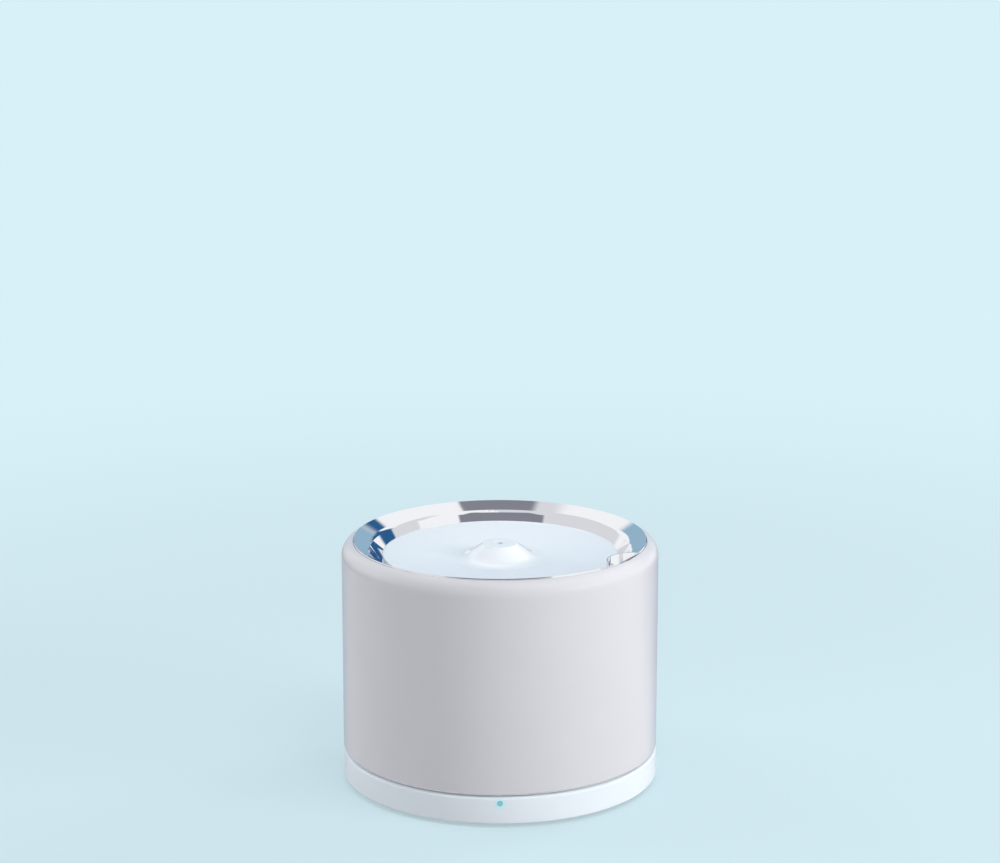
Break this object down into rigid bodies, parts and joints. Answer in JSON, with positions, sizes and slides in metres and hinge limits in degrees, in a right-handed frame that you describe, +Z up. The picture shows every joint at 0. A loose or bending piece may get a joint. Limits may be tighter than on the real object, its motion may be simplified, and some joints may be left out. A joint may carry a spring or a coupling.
{
  "type": "pet water fountain",
  "caption": "Round drinking fountain for pets: a steel-lined tank on a wireless power base, with a submerged pump, a steel bowl, a filter cover and a spray disc, all lifting off on one axis.",
  "frame": {"origin": "on the fountain's axis, at the surface that the feet stand on", "axes": "+Z up along the axis, -Y the front with the indicator light, +Y the rear with the power inlet, +X to the right seen from the front"},
  "size_m": [0.18, 0.18, 0.1405],
  "materials": {
    "white_shell": "satin",
    "white_inner": "moulded",
    "white_gloss": "gloss",
    "filter_plastic": "satin",
    "hub_plastic": "satin",
    "clear_plastic": "clear",
    "grey_rubber": "matte",
    "seal_rubber": "matte",
    "soft_sleeve": "matte",
    "liner_steel": "satin",
    "bowl_steel": "mirror polished",
    "screw_steel": "plated",
    "weight_steel": "painted",
    "shaft_steel": "ground",
    "core_steel": "laminated",
    "copper": "enamelled",
    "ferrite": "matte",
    "board": "satin",
    "pump_plastic": "satin",
    "volute_plastic": "moulded",
    "bush_plastic": "moulded",
    "black_foam": "open cell",
    "cotton": "felt",
    "carbon": "granules"
  },
  "bodies": {
    "base": {"base_top_cover": "white_shell", "base_bottom_cover": "white_inner", "base_feet": "grey_rubber", "base_screws": "screw_steel", "base_weight": "weight_steel", "transmitter_board": "board", "transmitter_ferrite": "ferrite", "transmitter_coil": "copper", "led_light_pipe": "clear_plastic", "power_socket": "shaft_steel"},
    "tank": {"tank_outer_shell": "white_shell", "tank_bottom_plate": "white_inner", "tank_pads": "grey_rubber", "tank_screws": "screw_steel", "tank_rim_seal": "seal_rubber", "tank_steel_liner": "liner_steel"},
    "pump": {"pump_upper_housing": "pump_plastic", "pump_lower_housing": "pump_plastic", "pump_housing_seal": "seal_rubber", "pump_pads": "grey_rubber", "receiver_coil": "copper", "receiver_ferrite": "ferrite", "driver_board": "board", "volute_cup": "volute_plastic", "volute_lid": "volute_plastic", "impeller_shaft": "shaft_steel", "stator_core": "core_steel", "stator_coils": "copper"},
    "impeller": {"impeller": "volute_plastic", "rotor_magnet": "ferrite", "shaft_bushes": "bush_plastic"},
    "foam": {"inlet_foam": "black_foam"},
    "bowl": {"steel_bowl": "bowl_steel", "bowl_hub": "hub_plastic", "hub_seal": "seal_rubber", "hub_collar": "hub_plastic", "nozzle_sleeve": "soft_sleeve"},
    "filter": {"filter_cover": "filter_plastic", "filter_tray": "filter_plastic", "filter_cotton": "cotton", "filter_carbon": "carbon"},
    "disc": {"spray_disc": "white_gloss", "disc_underplate": "white_gloss", "disc_stem": "clear_plastic", "disc_outlet": "white_gloss"}
  },
  "joints": [
    {"name": "tank_lift", "type": "slide", "parent": "base", "child": "tank", "axis": [0, 0, 1], "range_m": [0, 0.06887]},
    {"name": "pump_lift", "type": "slide", "parent": "tank", "child": "pump", "axis": [0, 0, 1], "range_m": [0, 0.10403]},
    {"name": "bowl_lift", "type": "slide", "parent": "pump", "child": "bowl", "axis": [0, 0, 1], "range_m": [0, 0.01958]},
    {"name": "filter_lift", "type": "slide", "parent": "bowl", "child": "filter", "axis": [0, 0, 1], "range_m": [0, 0.05881]},
    {"name": "disc_lift", "type": "slide", "parent": "filter", "child": "disc", "axis": [0, 0, 1], "range_m": [0, 0.03333]},
    {"name": "impeller_spin", "type": "hinge", "parent": "pump", "child": "impeller", "pos_m": [0.01265, 0, 0.0474], "axis": [0, 0, 1], "continuous": true},
    {"name": "foam_pull", "type": "slide", "parent": "pump", "child": "foam", "axis": [0, 0.7071, -0.7071], "range_m": [-0.02, 0]}
  ]
}
